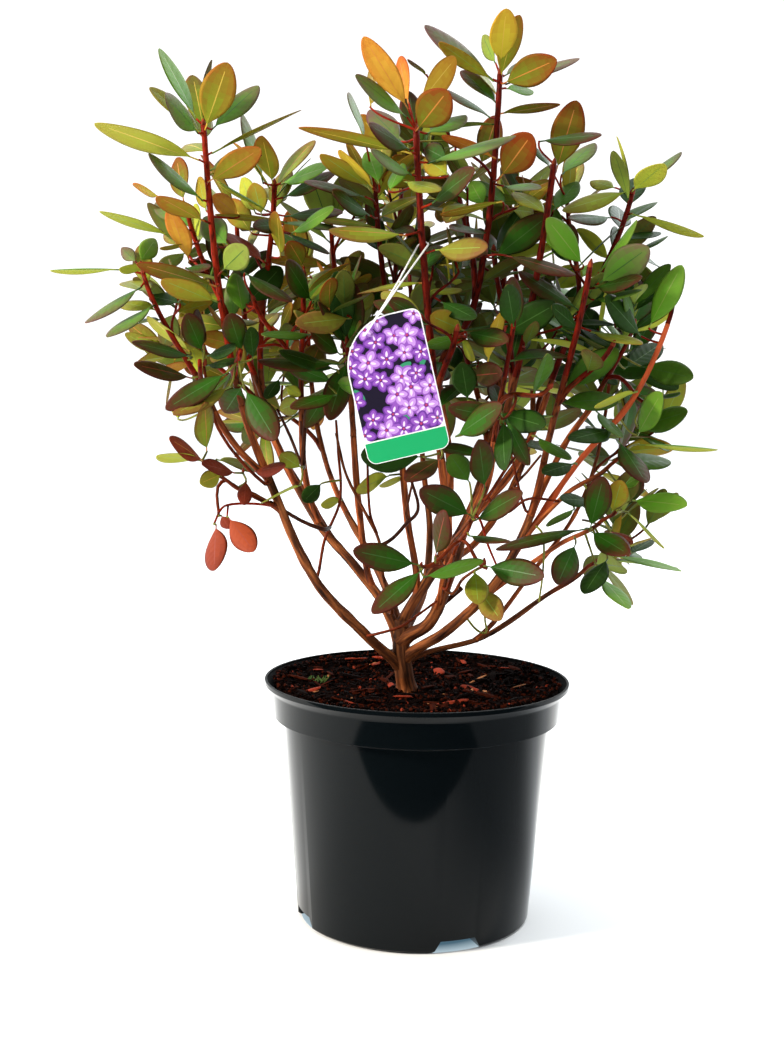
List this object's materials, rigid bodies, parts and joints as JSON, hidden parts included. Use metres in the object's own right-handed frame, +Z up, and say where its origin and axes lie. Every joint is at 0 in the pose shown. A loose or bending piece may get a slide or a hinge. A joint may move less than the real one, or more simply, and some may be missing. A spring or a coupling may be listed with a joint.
{
  "type": "potted rhododendron",
  "caption": "Young evergreen rhododendron with whorled bronze-green leaves on upright red shoots, in a black plastic nursery pot, with a picture tag on a loop.",
  "frame": {"origin": "centre of the pot's flat underside", "axes": "+Z up along the pot's axis, -Y towards the plant's front, where the tag hangs, +X to the right seen from the front"},
  "size_m": [0.4653, 0.3555, 0.654],
  "materials": {
    "pot": "glossy black",
    "compost": "moist, crumbly",
    "bark": "flaky bark",
    "foliage": "leathery, slightly glossy",
    "tag": "printed, satin",
    "loop": "satin white"
  },
  "bodies": {
    "root": {"pot": "pot", "compost": "compost", "trunk": "bark", "bough_left_low": "bark", "bough_left_up": "bark", "bough_centre_back": "bark", "bough_centre": "bark", "bough_right": "bark", "bough_right_low": "bark", "bough_back_left": "bark", "bough_back_mid": "bark", "bough_left_side": "bark", "bough_left_outer": "bark", "bough_left_back": "bark", "bough_left_inner": "bark", "bough_left_spur": "bark", "bough_centre_left": "bark", "bough_centre_top": "bark", "bough_back_right": "bark", "bough_centre_front": "bark", "bough_centre_dark": "bark", "bough_front": "bark", "bough_right_twig_low": "bark", "bough_right_twig_mid": "bark", "bough_right_arch": "bark", "bough_right_outer": "bark", "bough_right_up": "bark", "bough_back_far_right": "bark", "foliage_left_low": "foliage", "foliage_left_outer": "foliage", "foliage_left_side": "foliage", "foliage_left_up": "foliage", "foliage_left_inner": "foliage", "foliage_left_back": "foliage", "foliage_left_spur": "foliage", "foliage_centre_back": "foliage", "foliage_centre_left": "foliage", "foliage_centre_front": "foliage", "foliage_centre_top": "foliage", "foliage_centre": "foliage", "foliage_centre_dark": "foliage", "foliage_front": "foliage", "foliage_right": "foliage", "foliage_right_up": "foliage", "foliage_right_arch": "foliage", "foliage_right_outer": "foliage", "foliage_right_twig_mid": "foliage", "foliage_right_twig_low": "foliage", "foliage_right_low": "foliage", "foliage_back_left": "foliage", "foliage_back_mid": "foliage", "foliage_back_right": "foliage", "foliage_back_far_right": "foliage", "tag": "tag", "tag_loop": "loop"}
  },
  "joints": []
}
